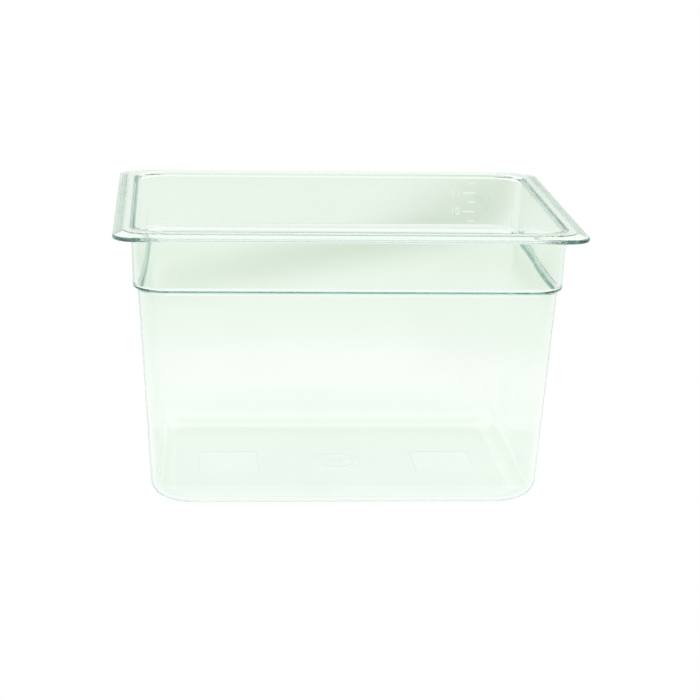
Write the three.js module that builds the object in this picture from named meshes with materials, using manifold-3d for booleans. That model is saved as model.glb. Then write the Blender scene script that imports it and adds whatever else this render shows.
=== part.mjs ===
// A clear polycarbonate food pan of the half size of the gastronorm series, 200 mm deep.
// It is one injection moulding: a floor with a rounded edge, tapered lower walls, a stacking
// shoulder, an upper band and a flange that slopes down to its edge all round.
// Millimetres, +Z up. The origin is at the centre of the underside, +X is along the long side.
import * as THREE from "three";
import { mergeVertices } from "three/addons/utils/BufferGeometryUtils.js";
import Module from "manifold-3d";

// Overall size
const LENGTH = 325;
const WIDTH = 265;
const HEIGHT = 200;
const WALL = 2.8;
const FLOOR = 3;

// Flange. An inset is measured inwards from the flange's outer edge, on every side alike.
const FLANGE_EDGE_RADIUS = 14; // corner of the flange's outline
const FLANGE_UNDERSIDE = HEIGHT - 2.8; // below the flat ledge
const EDGE_TOP = HEIGHT - 1.8; // the flange slopes down to these heights at its edge
const EDGE_BOTTOM = HEIGHT - 5.4;
const LEDGE_INSET = 7.6; // where the outer slope meets the flat ledge

// Upper band, from the flange down to the shoulder
const BAND_TOP_INSET = 12.4;
const BAND_BOTTOM_INSET = 13.6;
const BAND_RADIUS = 24.8;
const SHOULDER_HEIGHT = 156.4;

// Lower walls, from the shoulder down to the floor
const SHOULDER_STEP = 3.3;
const FOOT_INSET = 26.9; // where the wall would meet the ground if its edge were sharp
const FOOT_RADIUS = 19;
const FOOT_ROUND = 17.2; // rounding between the wall and the floor, outside

// Inner ledge, a smooth slope over the shoulder on which a nested pan rests
const INNER_LEDGE_TOP = 159.1;
const INNER_LEDGE_BOTTOM = 155.7;

// Small roundings of the profile
const EDGE_ROUND = 1.3;
const MOUTH_ROUND = 1;
const BAND_ROUND = 1.2;
const SHOULDER_ROUND = 2.2;
const NECK_ROUND = 0.4;
const LEDGE_ROUND = 4;

// Marks in the underside
const MARK_DEPTH = 0.25;
const GATE_RADIUS = 19;
const GATE_BOSS_RADIUS = 13.5;
const PAD_LENGTH = 44;
const PAD_WIDTH = 49;
const PAD_OFFSET = 80; // from the centre to the middle of each pad, along X
const PAD_CORNER = 3;

// Fineness of the facets
const CORNER_STEPS = 8; // around each corner of the plan
const ROUND_STEPS = 3; // around each small rounding of the profile
const FOOT_STEPS = 6; // around the rounding of the floor's edge

const wasm = await Module();
wasm.setup();

// The profile from the middle of the underside out, up, over the flange and down the inside.
// inset and z place a corner, plan is the corner radius of the ring there, and round and steps
// say how the profile itself is rounded at that corner.
function profileCorners() {
  const shoulderInset = BAND_BOTTOM_INSET + SHOULDER_STEP;
  const slope = (FOOT_INSET - shoulderInset) / SHOULDER_HEIGHT;
  const bodyRadius = BAND_RADIUS - SHOULDER_STEP;
  const footInner = FOOT_INSET + WALL - slope * FLOOR;
  return [
    { inset: FOOT_INSET, z: 0, plan: FOOT_RADIUS, round: FOOT_ROUND, steps: FOOT_STEPS },
    { inset: shoulderInset, z: SHOULDER_HEIGHT, plan: bodyRadius, round: NECK_ROUND },
    { inset: BAND_BOTTOM_INSET, z: SHOULDER_HEIGHT, plan: BAND_RADIUS, round: SHOULDER_ROUND },
    { inset: BAND_TOP_INSET, z: FLANGE_UNDERSIDE, plan: BAND_RADIUS, round: BAND_ROUND },
    { inset: LEDGE_INSET, z: FLANGE_UNDERSIDE, plan: FLANGE_EDGE_RADIUS, round: 0 },
    { inset: 0, z: EDGE_BOTTOM, plan: FLANGE_EDGE_RADIUS, round: EDGE_ROUND },
    { inset: 0, z: EDGE_TOP, plan: FLANGE_EDGE_RADIUS, round: EDGE_ROUND },
    { inset: LEDGE_INSET, z: HEIGHT, plan: FLANGE_EDGE_RADIUS, round: 0 },
    { inset: BAND_TOP_INSET + WALL, z: HEIGHT, plan: BAND_RADIUS - WALL, round: MOUTH_ROUND },
    { inset: BAND_BOTTOM_INSET + WALL, z: INNER_LEDGE_TOP, plan: BAND_RADIUS - WALL, round: LEDGE_ROUND },
    { inset: shoulderInset + WALL, z: INNER_LEDGE_BOTTOM, plan: bodyRadius - WALL, round: LEDGE_ROUND },
    { inset: footInner, z: FLOOR, plan: FOOT_RADIUS - WALL, round: FOOT_ROUND - WALL, steps: FOOT_STEPS },
  ];
}

// Replaces a corner by an arc that touches both of the profile's lines through it.
function roundCorner(before, corner, after) {
  const at = new THREE.Vector2(corner.inset, corner.z);
  const back = new THREE.Vector2(before.inset, before.z).sub(at);
  const ahead = new THREE.Vector2(after.inset, after.z).sub(at);
  const backLength = back.length();
  const aheadLength = ahead.length();
  back.normalize();
  ahead.normalize();
  const half = Math.acos(back.dot(ahead)) / 2;
  const reach = corner.round / Math.tan(half);
  const centre = back.clone().add(ahead).normalize();
  centre.multiplyScalar(corner.round / Math.sin(half)).add(at);
  const from = back.clone().multiplyScalar(reach).add(at).sub(centre);
  const to = ahead.clone().multiplyScalar(reach).add(at).sub(centre);
  const turn = Math.atan2(from.cross(to), from.dot(to));
  const planFrom = THREE.MathUtils.lerp(corner.plan, before.plan, reach / backLength);
  const planTo = THREE.MathUtils.lerp(corner.plan, after.plan, reach / aheadLength);
  const steps = corner.steps ?? ROUND_STEPS;
  const points = [];
  for (let i = 0; i <= steps; i++) {
    const p = from.clone().rotateAround(new THREE.Vector2(), (turn * i) / steps).add(centre);
    points.push({ inset: p.x, z: p.y, plan: THREE.MathUtils.lerp(planFrom, planTo, i / steps) });
  }
  return points;
}

// The whole profile as a list of rings, with the roundings worked out.
function profileRings() {
  const corners = profileCorners();
  const middle = Math.min(LENGTH, WIDTH) / 2;
  const underside = { inset: middle, z: 0, plan: FOOT_RADIUS };
  const floor = { inset: middle, z: FLOOR, plan: FOOT_RADIUS };
  const chain = [underside, ...corners, floor];
  return corners.flatMap((corner, i) =>
    corner.round ? roundCorner(chain[i], corner, chain[i + 2]) : [corner],
  );
}

// The points of one ring: a rectangle with round corners, anticlockwise seen from above.
function ringPoints({ inset, z, plan }) {
  const x = LENGTH / 2 - inset - plan;
  const y = WIDTH / 2 - inset - plan;
  const centres = [[x, y], [-x, y], [-x, -y], [x, -y]];
  return centres.flatMap(([cx, cy], quarter) => {
    const start = (quarter * Math.PI) / 2;
    const arc = new THREE.EllipseCurve(cx, cy, plan, plan, start, start + Math.PI / 2);
    return arc.getPoints(CORNER_STEPS).map((p) => new THREE.Vector3(p.x, p.y, z));
  });
}

// The shell: rings joined into a skin, closed by the underside and by the floor.
function shellGeometry() {
  const rings = profileRings().map(ringPoints);
  const count = rings[0].length;
  const index = [];
  for (let k = 0; k + 1 < rings.length; k++) {
    for (let i = 0; i < count; i++) {
      const a = k * count + i;
      const b = k * count + ((i + 1) % count);
      index.push(a, b, b + count, a, b + count, a + count);
    }
  }
  const cap = (ring) => THREE.ShapeUtils.triangulateShape(ring.map((p) => new THREE.Vector2(p.x, p.y)), []);
  const last = (rings.length - 1) * count;
  cap(rings[0]).forEach(([a, b, c]) => index.push(a, c, b));
  cap(rings.at(-1)).forEach(([a, b, c]) => index.push(last + a, last + b, last + c));
  const geometry = new THREE.BufferGeometry().setFromPoints(rings.flat());
  return geometry.setIndex(index);
}

// A plate of a given outline that cuts a mark into the underside.
function markGeometry(outline) {
  const plate = new THREE.ExtrudeGeometry(outline, {
    depth: 2 * MARK_DEPTH,
    bevelEnabled: false,
    curveSegments: CORNER_STEPS,
  });
  return plate.translate(0, 0, -MARK_DEPTH);
}

// The ring around the gate, where the plastic entered the mould.
function gateOutline() {
  const outline = new THREE.Shape().absarc(0, 0, GATE_RADIUS, 0, 2 * Math.PI);
  outline.holes.push(new THREE.Path().absarc(0, 0, GATE_BOSS_RADIUS, 0, 2 * Math.PI, true));
  return outline;
}

// A shallow blank pad with round corners.
function padOutline(side) {
  const x = PAD_LENGTH / 2 - PAD_CORNER;
  const y = PAD_WIDTH / 2 - PAD_CORNER;
  const cx = side * PAD_OFFSET;
  const outline = new THREE.Shape();
  [[x, y], [-x, y], [-x, -y], [x, -y]].forEach(([dx, dy], quarter) => {
    const start = (quarter * Math.PI) / 2;
    outline.absarc(cx + dx, dy, PAD_CORNER, start, start + Math.PI / 2);
  });
  return outline;
}

function toSolid(geometry) {
  const bare = geometry.clone();
  bare.deleteAttribute("normal");
  bare.deleteAttribute("uv");
  const merged = mergeVertices(bare, 1e-3);
  return new wasm.Manifold(
    new wasm.Mesh({
      numProp: 3,
      vertProperties: merged.attributes.position.array,
      triVerts: new Uint32Array(merged.index.array),
    }),
  );
}

function toGeometry(solid) {
  const mesh = solid.getMesh();
  const geometry = new THREE.BufferGeometry();
  geometry.setAttribute("position", new THREE.BufferAttribute(mesh.vertProperties, 3));
  geometry.setIndex(new THREE.BufferAttribute(mesh.triVerts, 1));
  geometry.computeVertexNormals();
  return geometry;
}

function panBody() {
  let solid = toSolid(shellGeometry());
  for (const outline of [gateOutline(), padOutline(-1), padOutline(1)]) {
    solid = solid.subtract(toSolid(markGeometry(outline)));
  }
  const polycarbonate = new THREE.MeshStandardMaterial({
    color: 0xe6f4e8,
    roughness: 0.08,
    metalness: 0,
    transparent: true,
    opacity: 0.35,
  });
  const mesh = new THREE.Mesh(toGeometry(solid), polycarbonate);
  mesh.name = "pan_body";
  return mesh;
}

const group = new THREE.Group();
group.add(panBody());

export default group;
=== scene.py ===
"""A clear polycarbonate food pan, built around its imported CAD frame.

The visible shell is lofted from the same profile as the CAD solid, with fine roundings. Metres, +Z up,
+X along the long side, -Y towards the camera.
"""
import math

import bmesh
import bpy
from mathutils import Matrix, Vector


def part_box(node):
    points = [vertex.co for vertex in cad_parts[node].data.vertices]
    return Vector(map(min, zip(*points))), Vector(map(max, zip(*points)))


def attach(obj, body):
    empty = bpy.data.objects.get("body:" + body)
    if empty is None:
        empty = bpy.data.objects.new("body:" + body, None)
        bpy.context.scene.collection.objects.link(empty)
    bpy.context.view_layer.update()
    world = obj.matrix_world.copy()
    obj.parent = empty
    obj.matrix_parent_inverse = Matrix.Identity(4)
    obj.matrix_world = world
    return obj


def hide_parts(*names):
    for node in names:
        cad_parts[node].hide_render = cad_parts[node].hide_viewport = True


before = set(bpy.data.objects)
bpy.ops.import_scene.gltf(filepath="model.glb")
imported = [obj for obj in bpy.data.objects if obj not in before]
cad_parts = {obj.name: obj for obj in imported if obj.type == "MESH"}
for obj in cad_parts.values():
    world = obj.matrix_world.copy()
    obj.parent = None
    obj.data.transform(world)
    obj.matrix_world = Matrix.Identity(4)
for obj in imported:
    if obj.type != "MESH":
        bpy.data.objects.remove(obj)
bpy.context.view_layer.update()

MM = 0.001
NODE = "pan_body"
LOW, HIGH = (Vector(c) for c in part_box(NODE))
LENGTH = HIGH.x - LOW.x
WIDTH = HIGH.y - LOW.y
HEIGHT = HIGH.z - LOW.z

# Walls
WALL = 2.8 * MM
FLOOR = 3.0 * MM

# Flange. An inset is measured inwards from the flange's outer edge, on every side alike.
EDGE_PLAN = 14 * MM
LIP_DROP = 1.8 * MM
LIP_BOTTOM = HEIGHT - 5.4 * MM
FLANGE_UNDER = HEIGHT - 2.8 * MM
LEDGE_INSET = 7.6 * MM

# Upper band and stacking shoulder
BAND_TOP_INSET = 12.4 * MM
BAND_BOTTOM_INSET = 13.6 * MM
BAND_PLAN = 24.8 * MM
SHOULDER_HEIGHT = 156.4 * MM
SHOULDER_STEP = 3.3 * MM
LEDGE_TOP = 159.1 * MM
LEDGE_BOTTOM = 155.7 * MM

# Lower walls
FOOT_INSET = 26.9 * MM
FOOT_PLAN = 19 * MM
FOOT_ROUND = 17.2 * MM

# Roundings of the profile
LIP_ROUND = 1.3 * MM
CREASE_ROUND = 1.5 * MM
MOUTH_ROUND = 1.0 * MM
BAND_ROUND = 1.2 * MM
SHOULDER_ROUND = 2.2 * MM
NECK_ROUND = 0.4 * MM
LEDGE_ROUND = 4.0 * MM

# Marks in the underside
MARK_DEPTH = 0.25 * MM
MARK_SLOPE = 0.12 * MM
GATE_RADII = (19 * MM, 13.5 * MM, 5 * MM)  # outside and inside of the ring, and the gate's dimple
PAD_SIZE = (44 * MM, 49 * MM)
PAD_CORNER = 3 * MM
PAD_OFFSET = 80 * MM

# Fill marks raised on the inside of the back wall, at the heights where the well holds so many litres
FILL_MARKS = [
    (163.0 * MM, ""),
    (170.5 * MM, "10"),
    (178.0 * MM, ""),
    (185.2 * MM, "11"),
    (192.6 * MM, ""),
]
FILL_MARK_RELIEF = 0.4 * MM
FILL_MARK_THICKNESS = 1.0 * MM
FILL_MARK_LENGTHS = (5 * MM, 9 * MM)
FILL_MARK_RIGHT = 114 * MM
NUMERAL_SIZE = 8 * MM
NUMERAL_GAP = 2 * MM
NUMERAL_THINNING = 0.25 * MM  # the rounding of the strokes widens them again

# Finish of each face of the shell, kept as an attribute of the mesh: gloss is 0
FINISH = "finish"
SATIN = 0.5
MATT = 1.0

# Fineness
PLAN_STEPS = 24  # around each corner of the plan
SMALL_STEPS = 8  # around each small rounding of the profile
FOOT_STEPS = 20  # around the rounding of the floor's edge
PAD_STEPS = 8  # around each corner of a pad
GATE_STEPS = 64  # around each circle at the gate
TICK_STEPS = 24  # around each tick
NUMERAL_STEPS = 3  # across the rounding of a numeral's strokes
FLOOR_STEPS = 96  # around the table
MERGE_DISTANCE = 1e-6
SHARP_ANGLE = math.radians(25)

# Polycarbonate
IOR = 1.585
TINT = (0.45, 0.7, 0.68)
TINT_DENSITY = 5.0

# Colour of one wall for each finish. The satin tone is a painted shade and the matt tone a painted
# light: matt faces are painted lighter than satin ones, for the light they scatter from above.
CLEAR_TONE = (0.962, 0.995, 0.958)
SATIN_PAINTED_SHADE = (0.91, 0.945, 0.91)
MATT_PAINTED_LIGHT = (1.0, 1.0, 1.0)
DRIFT = 0.985  # the colour varies from here to 1 over the pan

# Roughness
GLOSS = 0.02
SCUFFED_GLOSS = 0.05
MATT_EXTRA = 0.08

# The material's noises: scale and detail, and the range of values that counts
HAZE = (14, 4)
HAZE_RANGE = (0.35, 0.65)
SCUFF = (220, 3)
SCUFF_RANGE = (0.3, 0.7)
WAVE = (30, 1)
WAVE_STRENGTH = 0.1
WAVE_HEIGHT = 0.2 * MM

# Stage. Its ramps hold colours at TONE_SCALE of their value, and the lights are that much stronger.
FLOOR_GAP = 0.3 * MM
FLOOR_RADIUS = 5.0
TONE_SCALE = 0.5

# Painted light on the table by distance from the pan, as a share of its radius: a little painted shade
# right under the pan, the brightest ring just round it, and dimmer further out
FLOOR_PAINTED_LIGHT = [
    (0.030, (0.98, 1.01, 0.99)),
    (0.045, (1.03, 1.03, 1.03)),
    (0.065, (1.03, 1.02, 1.02)),
    (0.085, (0.97, 0.99, 0.97)),
    (0.160, (0.89, 0.945, 0.89)),
    (0.340, (0.83, 0.905, 0.82)),
    (0.600, (0.84, 0.90, 0.83)),
]

# Soft painted shadows on the table behind the pan: centre, turn in degrees, half length and half width
PAINTED_SHADOWS = [
    ((0.04, 0.78), 46, (0.5, 0.12)),
    ((0.26, 1.10), 66, (0.5, 0.14)),
]
PAINTED_SHADOW_SHADE = (0.82, 0.85, 0.82)

# Colour of the surroundings by height, as the sine of the elevation
SKY_TONES = [
    (0.00, (0.80, 0.87, 0.80)),
    (0.24, (0.85, 0.91, 0.85)),
    (0.50, (1.22, 1.18, 1.22)),
    (0.78, (1.40, 1.32, 1.27)),
    (1.00, (0.76, 0.84, 0.75)),
]

# Camera. The turn is its yaw, pitch and roll in radians, and its lens and sensor are in millimetres.
CAMERA_PLACE = Vector((-0.1225, -1.6243, 0.5004))
CAMERA_TURN = (0.081, 0.248, 0.022)
CAMERA_LENS = 116.73
SENSOR_WIDTH = 36
CAMERA_REACH = 50

# Light runs a long way inside the walls of a clear moulding before it leaves them
BOUNCES = 256


# ---------------------------------------------------------------- profile

def profile_corners():
    """The profile's corners from the underside out, up, over the flange and down the inside."""
    slope = (FOOT_INSET - BAND_BOTTOM_INSET - SHOULDER_STEP) / SHOULDER_HEIGHT
    body_plan = BAND_PLAN - SHOULDER_STEP
    shoulder_in = BAND_BOTTOM_INSET + SHOULDER_STEP
    return [
        # inset, height, corner radius in plan, rounding of the profile, steps
        (FOOT_INSET, 0, FOOT_PLAN, FOOT_ROUND, FOOT_STEPS),
        (shoulder_in, SHOULDER_HEIGHT, body_plan, NECK_ROUND, SMALL_STEPS),
        (BAND_BOTTOM_INSET, SHOULDER_HEIGHT, BAND_PLAN, SHOULDER_ROUND, SMALL_STEPS),
        (BAND_TOP_INSET, FLANGE_UNDER, BAND_PLAN, BAND_ROUND, SMALL_STEPS),
        (LEDGE_INSET, FLANGE_UNDER, EDGE_PLAN, CREASE_ROUND, SMALL_STEPS),
        (0, LIP_BOTTOM, EDGE_PLAN, LIP_ROUND, SMALL_STEPS),
        (0, HEIGHT - LIP_DROP, EDGE_PLAN, LIP_ROUND, SMALL_STEPS),
        (LEDGE_INSET, HEIGHT, EDGE_PLAN, CREASE_ROUND, SMALL_STEPS),
        (BAND_TOP_INSET + WALL, HEIGHT, BAND_PLAN - WALL, MOUTH_ROUND, SMALL_STEPS),
        (BAND_BOTTOM_INSET + WALL, LEDGE_TOP, BAND_PLAN - WALL, LEDGE_ROUND, SMALL_STEPS),
        (shoulder_in + WALL, LEDGE_BOTTOM, body_plan - WALL, LEDGE_ROUND, SMALL_STEPS),
        (FOOT_INSET + WALL - slope * FLOOR, FLOOR, FOOT_PLAN - WALL, FOOT_ROUND - WALL, FOOT_STEPS),
    ]


def round_corner(before, corner, after):
    """An arc that touches both lines of the profile through a corner, as (inset, height, plan)."""
    at = Vector(corner[:2])
    back = Vector(before[:2]) - at
    ahead = Vector(after[:2]) - at
    back_length = back.length
    ahead_length = ahead.length
    back.normalize()
    ahead.normalize()
    half = back.angle(ahead) / 2
    radius = corner[3]
    reach = radius / math.tan(half)
    centre = at + (back + ahead).normalized() * (radius / math.sin(half))
    start = at + back * reach - centre
    end = at + ahead * reach - centre
    turn = math.atan2(start.cross(end), start.dot(end))
    plan_start = corner[2] + (before[2] - corner[2]) * reach / back_length
    plan_end = corner[2] + (after[2] - corner[2]) * reach / ahead_length
    steps = corner[4]
    points = []
    for i in range(steps + 1):
        share = i / steps
        p = centre + Matrix.Rotation(turn * share, 2) @ start
        points.append((p.x, p.y, plan_start + (plan_end - plan_start) * share))
    return points


def profile_rings():
    """The whole profile with its roundings, as rings of (inset, height, plan)."""
    corners = profile_corners()
    middle = min(LENGTH, WIDTH) / 2
    chain = [(middle, 0, FOOT_PLAN), *corners, (middle, FLOOR, FOOT_PLAN)]
    rings = []
    for i, corner in enumerate(corners):
        rings += round_corner(chain[i], corner, chain[i + 2])
    return rings


def round_rectangle(centre_x, x, y, radius, height, steps):
    """A rectangle with round corners, whose corner arcs are centred x and y either side of its middle.
    It runs anticlockwise seen from above."""
    points = []
    for quarter, (cx, cy) in enumerate(((x, y), (-x, y), (-x, -y), (x, -y))):
        for i in range(steps + 1):
            angle = math.pi / 2 * (quarter + i / steps)
            px = centre_x + cx + radius * math.cos(angle)
            points.append((px, cy + radius * math.sin(angle), height))
    return points


def ring_points(inset, height, plan):
    """One ring of the shell."""
    x = LENGTH / 2 - inset - plan
    y = WIDTH / 2 - inset - plan
    return round_rectangle(0, x, y, plan, height, PLAN_STEPS)


# ---------------------------------------------------------------- mesh

def add_loop(bm, points):
    """A closed loop of vertices and edges."""
    verts = [bm.verts.new(p) for p in points]
    for a, b in zip(verts, verts[1:] + verts[:1]):
        bm.edges.new((a, b))
    return verts


def bridge(bm, lower, upper):
    """Quads between two loops with the same number of points."""
    count = len(lower)
    faces = []
    for i in range(count):
        j = (i + 1) % count
        faces.append(bm.faces.new((lower[i], lower[j], upper[j], upper[i])))
    return faces


def loop_edges(verts):
    """The edges between the neighbours of a closed loop."""
    pairs = zip(verts, verts[1:] + verts[:1])
    return [e for a, b in pairs for e in a.link_edges if e.other_vert(a) is b]


def circle_points(radius, height):
    """A circle centred on the gate."""
    angles = (2 * math.pi * i / GATE_STEPS for i in range(GATE_STEPS))
    return [(radius * math.cos(a), radius * math.sin(a), height) for a in angles]


def pad_points(side, height, shrink=0.0):
    """Outline of one blank pad in the underside."""
    x = PAD_SIZE[0] / 2 - PAD_CORNER
    y = PAD_SIZE[1] / 2 - PAD_CORNER
    return round_rectangle(side * PAD_OFFSET, x, y, PAD_CORNER - shrink, height, PAD_STEPS)


def flat_fill(bm, edges, normal):
    """Fills the flat region between the loops, facing along normal."""
    made = bmesh.ops.triangle_fill(bm, use_beauty=True, edges=edges, normal=normal)
    faces = [f for f in made["geom"] if isinstance(f, bmesh.types.BMFace)]
    for face in faces:
        face.normal_update()
        if face.normal.dot(normal) < 0:
            face.normal_flip()
    return faces


def build_underside(bm, rim):
    """Closes the shell's underside, with two blank pads, the ring round the gate and the gate's own
    dimple sunk into it. Returns the faces that the mould left matt, and those it left satin."""
    down = Vector((0, 0, -1))
    outer, middle, inner = GATE_RADII
    gate_out = add_loop(bm, circle_points(outer, 0))
    gate_out_deep = add_loop(bm, circle_points(outer - MARK_SLOPE, MARK_DEPTH))
    gate_in_deep = add_loop(bm, circle_points(middle + MARK_SLOPE, MARK_DEPTH))
    gate_in = add_loop(bm, circle_points(middle, 0))
    dimple = add_loop(bm, circle_points(inner, 0))
    dimple_deep = add_loop(bm, circle_points(inner - MARK_SLOPE, MARK_DEPTH))
    pads = [add_loop(bm, pad_points(side, 0)) for side in (-1, 1)]
    pads_deep = [add_loop(bm, pad_points(side, MARK_DEPTH, MARK_SLOPE)) for side in (-1, 1)]
    matt = bridge(bm, gate_in, gate_in_deep)
    for top, deep in [(gate_out, gate_out_deep), (dimple, dimple_deep), *zip(pads, pads_deep)]:
        matt += bridge(bm, deep, top)
    edges = loop_edges(rim) + loop_edges(gate_out)
    for pad in pads:
        edges += loop_edges(pad)
    satin = flat_fill(bm, edges, down)
    satin += flat_fill(bm, loop_edges(gate_in) + loop_edges(dimple), down)
    satin += flat_fill(bm, loop_edges(dimple_deep), down)
    matt += flat_fill(bm, loop_edges(gate_out_deep) + loop_edges(gate_in_deep), down)
    for deep in pads_deep:
        matt += flat_fill(bm, loop_edges(deep), down)
    return matt, satin


def back_wall_place(x, height):
    """A frame on the inside of the upper band's back wall: X right, Y up the wall, Z to the front."""
    rise = HEIGHT - LEDGE_TOP
    lean = (BAND_BOTTOM_INSET - BAND_TOP_INSET) / rise
    inset = BAND_TOP_INSET + WALL + lean * (HEIGHT - height)
    place = Matrix.Translation((x, WIDTH / 2 - inset, height))
    return place @ Matrix.Rotation(math.pi / 2 - math.atan(lean), 4, "X")


def add_tick(bm, length, height):
    """A low half-round ridge along the wall."""
    size = Matrix.Diagonal((FILL_MARK_RELIEF, FILL_MARK_THICKNESS / 2, length, 1))
    along = Matrix.Rotation(math.pi / 2, 4, "Y")
    place = back_wall_place(FILL_MARK_RIGHT - length / 2, height) @ along @ size
    bmesh.ops.create_cone(
        bm, cap_ends=True, segments=TICK_STEPS, radius1=1, radius2=1, depth=1, matrix=place
    )


def add_numeral(bm, text, right, height):
    """A litre number with rounded strokes, which ends at right."""
    curve = bpy.data.curves.new("numeral", "FONT")
    curve.body = text
    curve.size = NUMERAL_SIZE
    curve.bevel_depth = FILL_MARK_RELIEF
    curve.bevel_resolution = NUMERAL_STEPS
    curve.offset = -NUMERAL_THINNING
    curve.align_x = "RIGHT"
    curve.align_y = "CENTER"
    letter = bpy.data.objects.new("numeral", curve)
    bpy.context.scene.collection.objects.link(letter)
    letter.matrix_world = back_wall_place(right, height)
    bpy.context.view_layer.update()
    mesh = letter.to_mesh()
    mesh.transform(letter.matrix_world)
    bm.from_mesh(mesh)
    letter.to_mesh_clear()
    bpy.data.objects.remove(letter)
    bpy.data.curves.remove(curve)


def build_fill_marks():
    """The ticks and numerals as closed solids, half sunk into the wall, with a matt surface."""
    bm = bmesh.new()
    finish = bm.faces.layers.float.new(FINISH)
    short, long = FILL_MARK_LENGTHS
    for height, numeral in FILL_MARKS:
        length = long if numeral else short
        add_tick(bm, length, height)
        if numeral:
            add_numeral(bm, numeral, FILL_MARK_RIGHT - length - NUMERAL_GAP, height)
    bmesh.ops.remove_doubles(bm, verts=bm.verts, dist=MERGE_DISTANCE)
    for face in bm.faces:
        face[finish] = MATT
    mesh = bpy.data.meshes.new("fill_marks")
    bm.to_mesh(mesh)
    bm.free()
    marks = bpy.data.objects.new("fill_marks", mesh)
    bpy.context.scene.collection.objects.link(marks)
    return marks


def merge_into(shell, extra):
    """Joins a closed piece to the shell as one solid, and removes the piece."""
    join = shell.modifiers.new("join", "BOOLEAN")
    join.operation = "UNION"
    join.solver = "EXACT"
    join.object = extra
    bpy.context.view_layer.update()
    graph = bpy.context.evaluated_depsgraph_get()
    joined = bpy.data.meshes.new_from_object(shell.evaluated_get(graph))
    shell.modifiers.remove(join)
    shell.data = joined
    joined.name = "pan_shell"
    bpy.data.objects.remove(extra)


def build_shell():
    """The whole moulding as one closed mesh, with the finish of each face."""
    bm = bmesh.new()
    finish = bm.faces.layers.float.new(FINISH)
    loops = [add_loop(bm, ring_points(*ring)) for ring in profile_rings()]
    for lower, upper in zip(loops, loops[1:]):
        bridge(bm, lower, upper)
    flat_fill(bm, loop_edges(loops[-1]), Vector((0, 0, 1)))
    matt, satin = build_underside(bm, loops[0])
    for face in matt:
        face[finish] = MATT
    for face in satin:
        face[finish] = SATIN
    bmesh.ops.remove_doubles(bm, verts=bm.verts, dist=MERGE_DISTANCE)
    mesh = bpy.data.meshes.new("pan_shell")
    bm.to_mesh(mesh)
    bm.free()
    shell = bpy.data.objects.new("pan_shell", mesh)
    bpy.context.scene.collection.objects.link(shell)
    shell.data.materials.append(polycarbonate())
    merge_into(shell, build_fill_marks())
    shell.data.shade_smooth()
    shell.data.set_sharp_from_angle(angle=SHARP_ANGLE)
    weights = shell.modifiers.new("even_shading", "WEIGHTED_NORMAL")
    weights.keep_sharp = True
    weights.mode = "FACE_AREA"
    return shell


# ---------------------------------------------------------------- materials

def new_material(name):
    material = bpy.data.materials.new(name)
    material.use_nodes = True
    material.node_tree.nodes.clear()
    return material, material.node_tree.nodes, material.node_tree.links


def finish_tone_and_painted_light(nodes, links, finish):
    """The colour that goes with a finish: painted light on matt faces and painted shade on satin ones.
    """
    tone_with_painted_light = nodes.new("ShaderNodeValToRGB")
    elements = tone_with_painted_light.color_ramp.elements
    tone_with_painted_light.color_ramp.interpolation = "CONSTANT"
    elements.new(SATIN / 2)
    elements[0].color = (*CLEAR_TONE, 1)
    elements[1].color = (*SATIN_PAINTED_SHADE, 1)
    elements[2].position = (SATIN + MATT) / 2
    elements[2].color = (*MATT_PAINTED_LIGHT, 1)
    links.new(finish, tone_with_painted_light.inputs["Fac"])
    return tone_with_painted_light.outputs["Color"]


def noise(nodes, links, place, grain):
    """A noise over the pan, with the grain's scale and detail."""
    scale, detail = grain
    texture = nodes.new("ShaderNodeTexNoise")
    texture.inputs["Scale"].default_value = scale
    texture.inputs["Detail"].default_value = detail
    links.new(place, texture.inputs["Vector"])
    return texture.outputs["Fac"]


def spread(nodes, links, value, source, target):
    """Maps a value from one range to another."""
    spreader = nodes.new("ShaderNodeMapRange")
    for name, bound in zip(("From Min", "From Max", "To Min", "To Max"), (*source, *target)):
        spreader.inputs[name].default_value = bound
    links.new(value, spreader.inputs["Value"])
    return spreader.outputs["Result"]


def wall_colour(nodes, links, place, finish):
    """The tone of the finish, painted lighter on matt faces and darker on satin ones, which drifts a
    little over the pan.
    """
    haze = noise(nodes, links, place, HAZE)
    colour = nodes.new("ShaderNodeVectorMath")
    colour.operation = "SCALE"
    links.new(finish_tone_and_painted_light(nodes, links, finish), colour.inputs[0])
    links.new(spread(nodes, links, haze, HAZE_RANGE, (DRIFT, 1)), colour.inputs["Scale"])
    return colour.outputs["Vector"]


def wall_roughness(nodes, links, place, finish):
    """Fine scuffs, with more roughness where the finish is satin or matt."""
    scuff = noise(nodes, links, place, SCUFF)
    roughness = nodes.new("ShaderNodeMath")
    roughness.operation = "MULTIPLY_ADD"
    roughness.inputs[1].default_value = MATT_EXTRA
    links.new(finish, roughness.inputs[0])
    links.new(spread(nodes, links, scuff, SCUFF_RANGE, (GLOSS, SCUFFED_GLOSS)), roughness.inputs[2])
    return roughness.outputs["Value"]


def wall_waves(nodes, links, place):
    """The faint waviness of a moulded wall."""
    relief = nodes.new("ShaderNodeBump")
    relief.inputs["Strength"].default_value = WAVE_STRENGTH
    relief.inputs["Distance"].default_value = WAVE_HEIGHT
    links.new(noise(nodes, links, place, WAVE), relief.inputs["Height"])
    return relief.outputs["Normal"]


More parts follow.
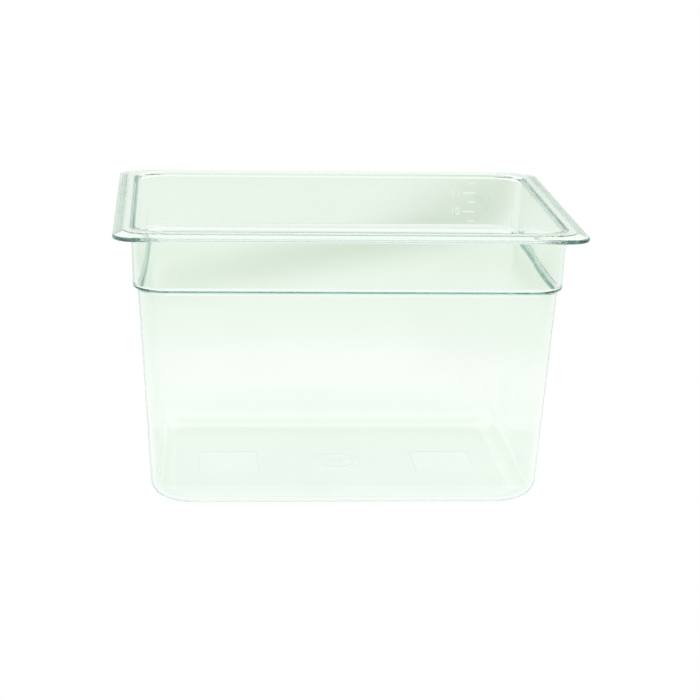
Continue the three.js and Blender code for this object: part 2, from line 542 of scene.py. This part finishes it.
def polycarbonate():
    """Clear, faintly green plastic."""
    material, nodes, links = new_material("clear_polycarbonate")
    out = nodes.new("ShaderNodeOutputMaterial")
    shader = nodes.new("ShaderNodeBsdfPrincipled")
    shader.inputs["IOR"].default_value = IOR
    shader.inputs["Transmission Weight"].default_value = 1.0
    attribute = nodes.new("ShaderNodeAttribute")
    attribute.attribute_name = FINISH
    finish = attribute.outputs["Fac"]
    place = nodes.new("ShaderNodeTexCoord").outputs["Object"]
    links.new(wall_colour(nodes, links, place, finish), shader.inputs["Base Color"])
    links.new(wall_roughness(nodes, links, place, finish), shader.inputs["Roughness"])
    links.new(wall_waves(nodes, links, place), shader.inputs["Normal"])
    links.new(shader.outputs["BSDF"], out.inputs["Surface"])
    absorb = nodes.new("ShaderNodeVolumeAbsorption")
    absorb.inputs["Color"].default_value = (*TINT, 1)
    absorb.inputs["Density"].default_value = TINT_DENSITY
    links.new(absorb.outputs["Volume"], out.inputs["Volume"])
    return material


# ---------------------------------------------------------------- stage

def tone_ramp(nodes, tones):
    """A colour ramp through (position, colour) pairs, at TONE_SCALE of their value."""
    ramp = nodes.new("ShaderNodeValToRGB")
    elements = ramp.color_ramp.elements
    while len(elements) < len(tones):
        elements.new(0.5)
    for element, (position, colour) in zip(elements, tones):
        element.position = position
        element.color = (*(c * TONE_SCALE for c in colour), 1)
    return ramp


def white_to_camera(nodes, links, plain, lit, out):
    """Shows one shader to the camera and the other one to all light that meets the pan."""
    path = nodes.new("ShaderNodeLightPath")
    mix = nodes.new("ShaderNodeMixShader")
    links.new(path.outputs["Is Camera Ray"], mix.inputs["Fac"])
    links.new(lit, mix.inputs[1])
    links.new(plain, mix.inputs[2])
    links.new(mix.outputs["Shader"], out.inputs["Surface"])


def add_painted_shadow(nodes, links, table, painted_shadow):
    """The tone of one soft painted shadow on the table. It is white outside the painted shadow."""
    centre, turn, size = painted_shadow
    area = nodes.new("ShaderNodeMapping")
    area.vector_type = "TEXTURE"
    area.inputs["Location"].default_value = (*centre, 0)
    area.inputs["Rotation"].default_value = (0, 0, math.radians(turn))
    area.inputs["Scale"].default_value = (*size, 1)
    links.new(table, area.inputs["Vector"])
    fade = nodes.new("ShaderNodeTexGradient")
    fade.gradient_type = "SPHERICAL"
    links.new(area.outputs["Vector"], fade.inputs["Vector"])
    shade = nodes.new("ShaderNodeValToRGB")
    shade.color_ramp.interpolation = "EASE"
    shade.color_ramp.elements[0].color = (1, 1, 1, 1)
    shade.color_ramp.elements[1].color = (*PAINTED_SHADOW_SHADE, 1)
    links.new(fade.outputs["Fac"], shade.inputs["Fac"])
    return shade.outputs["Color"]


def table_painted_light(nodes, links):
    """The painted light of the table: it changes with the distance from the pan, with painted shade
    right under it, and dims in the painted shadows.
    """
    place = nodes.new("ShaderNodeTexCoord").outputs["Object"]
    distance = nodes.new("ShaderNodeVectorMath")
    distance.operation = "LENGTH"
    links.new(place, distance.inputs[0])
    share = nodes.new("ShaderNodeMath")
    share.operation = "DIVIDE"
    share.inputs[1].default_value = FLOOR_RADIUS
    links.new(distance.outputs["Value"], share.inputs[0])
    ramp = tone_ramp(nodes, FLOOR_PAINTED_LIGHT)
    links.new(share.outputs["Value"], ramp.inputs["Fac"])
    tone_with_painted_light = ramp.outputs["Color"]
    for painted_shadow in PAINTED_SHADOWS:
        shaded = nodes.new("ShaderNodeVectorMath")
        shaded.operation = "MULTIPLY"
        links.new(tone_with_painted_light, shaded.inputs[0])
        links.new(add_painted_shadow(nodes, links, place, painted_shadow), shaded.inputs[1])
        tone_with_painted_light = shaded.outputs["Vector"]
    return tone_with_painted_light


def build_floor():
    """A white table that glows: plain white to the camera, and with painted light and painted shadows
    to all other rays.
    """
    bm = bmesh.new()
    bmesh.ops.create_circle(bm, cap_ends=True, segments=FLOOR_STEPS, radius=FLOOR_RADIUS)
    mesh = bpy.data.meshes.new("studio_floor")
    bm.to_mesh(mesh)
    bm.free()
    floor = bpy.data.objects.new("studio_floor", mesh)
    floor.location.z = LOW.z - FLOOR_GAP
    bpy.context.scene.collection.objects.link(floor)
    material, nodes, links = new_material("studio_white_and_painted_light")
    out = nodes.new("ShaderNodeOutputMaterial")
    plain = nodes.new("ShaderNodeEmission")
    # To all other rays the table glows with its painted light and painted shadows.
    lit = nodes.new("ShaderNodeEmission")
    lit.inputs["Strength"].default_value = 1 / TONE_SCALE
    links.new(table_painted_light(nodes, links), lit.inputs["Color"])
    white_to_camera(nodes, links, plain.outputs["Emission"], lit.outputs["Emission"], out)
    mesh.materials.append(material)


def build_world():
    """Soft light all round: low at the horizon, brightest high up, lower again straight overhead."""
    world = bpy.data.worlds.new("studio")
    bpy.context.scene.world = world
    world.use_nodes = True
    nodes, links = world.node_tree.nodes, world.node_tree.links
    nodes.clear()
    out = nodes.new("ShaderNodeOutputWorld")
    plain = nodes.new("ShaderNodeBackground")
    plain.inputs["Color"].default_value = (1, 1, 1, 1)
    lit = nodes.new("ShaderNodeBackground")
    lit.inputs["Strength"].default_value = 1 / TONE_SCALE
    place = nodes.new("ShaderNodeTexCoord")
    split = nodes.new("ShaderNodeSeparateXYZ")
    links.new(place.outputs["Generated"], split.inputs["Vector"])
    ramp = tone_ramp(nodes, SKY_TONES)
    links.new(split.outputs["Z"], ramp.inputs["Fac"])
    links.new(ramp.outputs["Color"], lit.inputs["Color"])
    white_to_camera(nodes, links, plain.outputs["Background"], lit.outputs["Background"], out)


def build_camera():
    """The camera, looking along +Y before it is turned."""
    yaw, pitch, roll = CAMERA_TURN
    level = Vector((math.sin(yaw), math.cos(yaw), 0))
    forward = level * math.cos(pitch) - Vector((0, 0, math.sin(pitch)))
    right = Vector((math.cos(yaw), -math.sin(yaw), 0))
    up = right.cross(forward)
    tilted_right = right * math.cos(roll) + up * math.sin(roll)
    tilted_up = up * math.cos(roll) - right * math.sin(roll)
    data = bpy.data.cameras.new("camera")
    data.sensor_width = SENSOR_WIDTH
    data.lens = CAMERA_LENS
    data.clip_end = CAMERA_REACH
    camera = bpy.data.objects.new("camera", data)
    turn = Matrix((tilted_right, tilted_up, -forward)).transposed()
    camera.matrix_world = Matrix.Translation(CAMERA_PLACE) @ turn.to_4x4()
    bpy.context.scene.collection.objects.link(camera)
    bpy.context.scene.camera = camera


# ---------------------------------------------------------------- assembly

shell = build_shell()
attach(shell, "root")
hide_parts(NODE)

build_floor()
build_world()
build_camera()

scene = bpy.context.scene
scene.view_settings.view_transform = "Standard"
scene.cycles.max_bounces = BOUNCES
scene.cycles.transmission_bounces = BOUNCES
scene.cycles.glossy_bounces = BOUNCES
scene.cycles.blur_glossy = 0
